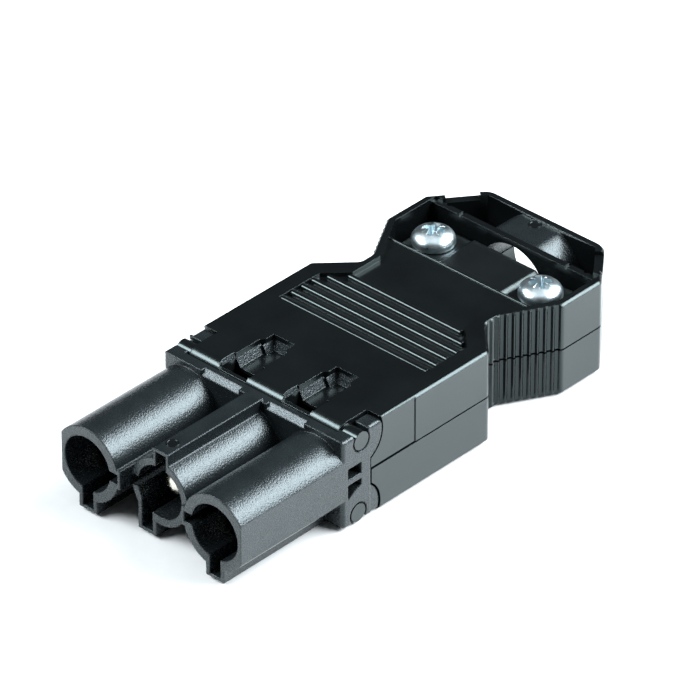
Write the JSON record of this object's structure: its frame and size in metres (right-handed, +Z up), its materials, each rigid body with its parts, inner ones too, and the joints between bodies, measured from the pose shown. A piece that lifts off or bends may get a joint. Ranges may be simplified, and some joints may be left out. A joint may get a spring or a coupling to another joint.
{
  "type": "inverter ac connector",
  "caption": "Keyed AC cable plug with contact pins in separate tubes, half-shells that hinge on the contact carrier and a screwed cable clamp.",
  "frame": {"origin": "middle of the footprint, on the surface that the flat underside rests on", "axes": "+Z up, +Y from the contact tubes towards the cable inlet, +X to the right when looking along +Y"},
  "size_m": [0.036, 0.0866, 0.016],
  "materials": {
    "carrier_plastic": "spark-eroded matte black polyamide",
    "housing_plastic": "polished black polyamide",
    "clamp_plastic": "satin black polyamide",
    "zinc_steel": "bright zinc plate",
    "contact_brass": "silver plated brass",
    "terminal_brass": "machined brass",
    "guard_steel": "stainless leaf"
  },
  "bodies": {
    "carrier": {"contact_carrier": "carrier_plastic", "contact_pin_left": "contact_brass", "contact_pin_middle": "contact_brass", "contact_pin_right": "contact_brass", "terminal_block_left": "terminal_brass", "terminal_block_middle": "terminal_brass", "terminal_block_right": "terminal_brass"},
    "upper": {"upper_housing": "housing_plastic"},
    "lower": {"lower_housing": "housing_plastic"},
    "clamp": {"cable_clamp": "clamp_plastic"},
    "clamp_screw_left": {"clamp_screw_left": "zinc_steel"},
    "clamp_screw_right": {"clamp_screw_right": "zinc_steel"},
    "terminal_left": {"terminal_screw_left": "zinc_steel", "wire_guard_left": "guard_steel"},
    "terminal_middle": {"terminal_screw_middle": "zinc_steel", "wire_guard_middle": "guard_steel"},
    "terminal_right": {"terminal_screw_right": "zinc_steel", "wire_guard_right": "guard_steel"}
  },
  "joints": [
    {"name": "upper_hinge", "type": "hinge", "parent": "carrier", "child": "upper", "pos_m": [0, -0.0178, 0.01405], "axis": [1, 0, 0], "range_deg": [0, 100]},
    {"name": "lower_hinge", "type": "hinge", "parent": "carrier", "child": "lower", "pos_m": [0, -0.0185, 0.0017], "axis": [-1, 0, 0], "range_deg": [0, 100]},
    {"name": "clamp_slide", "type": "slide", "parent": "lower", "child": "clamp", "axis": [0, 0, 1], "range_m": [-0.003, 0]},
    {"name": "clamp_screw_left_slide", "type": "slide", "parent": "lower", "child": "clamp_screw_left", "axis": [0, 0, 1], "range_m": [-0.003, 0]},
    {"name": "clamp_screw_right_slide", "type": "slide", "parent": "lower", "child": "clamp_screw_right", "axis": [0, 0, 1], "range_m": [-0.003, 0]},
    {"name": "terminal_left_slide", "type": "slide", "parent": "carrier", "child": "terminal_left", "axis": [0, 0, 1], "range_m": [-0.0012, 0]},
    {"name": "terminal_middle_slide", "type": "slide", "parent": "carrier", "child": "terminal_middle", "axis": [0, 0, 1], "range_m": [-0.0012, 0]},
    {"name": "terminal_right_slide", "type": "slide", "parent": "carrier", "child": "terminal_right", "axis": [0, 0, 1], "range_m": [-0.0012, 0]}
  ],
  "couplings": [
    {"joint": "clamp_screw_left_slide", "follows": "clamp_slide", "ratio": 1},
    {"joint": "clamp_screw_right_slide", "follows": "clamp_slide", "ratio": 1}
  ]
}
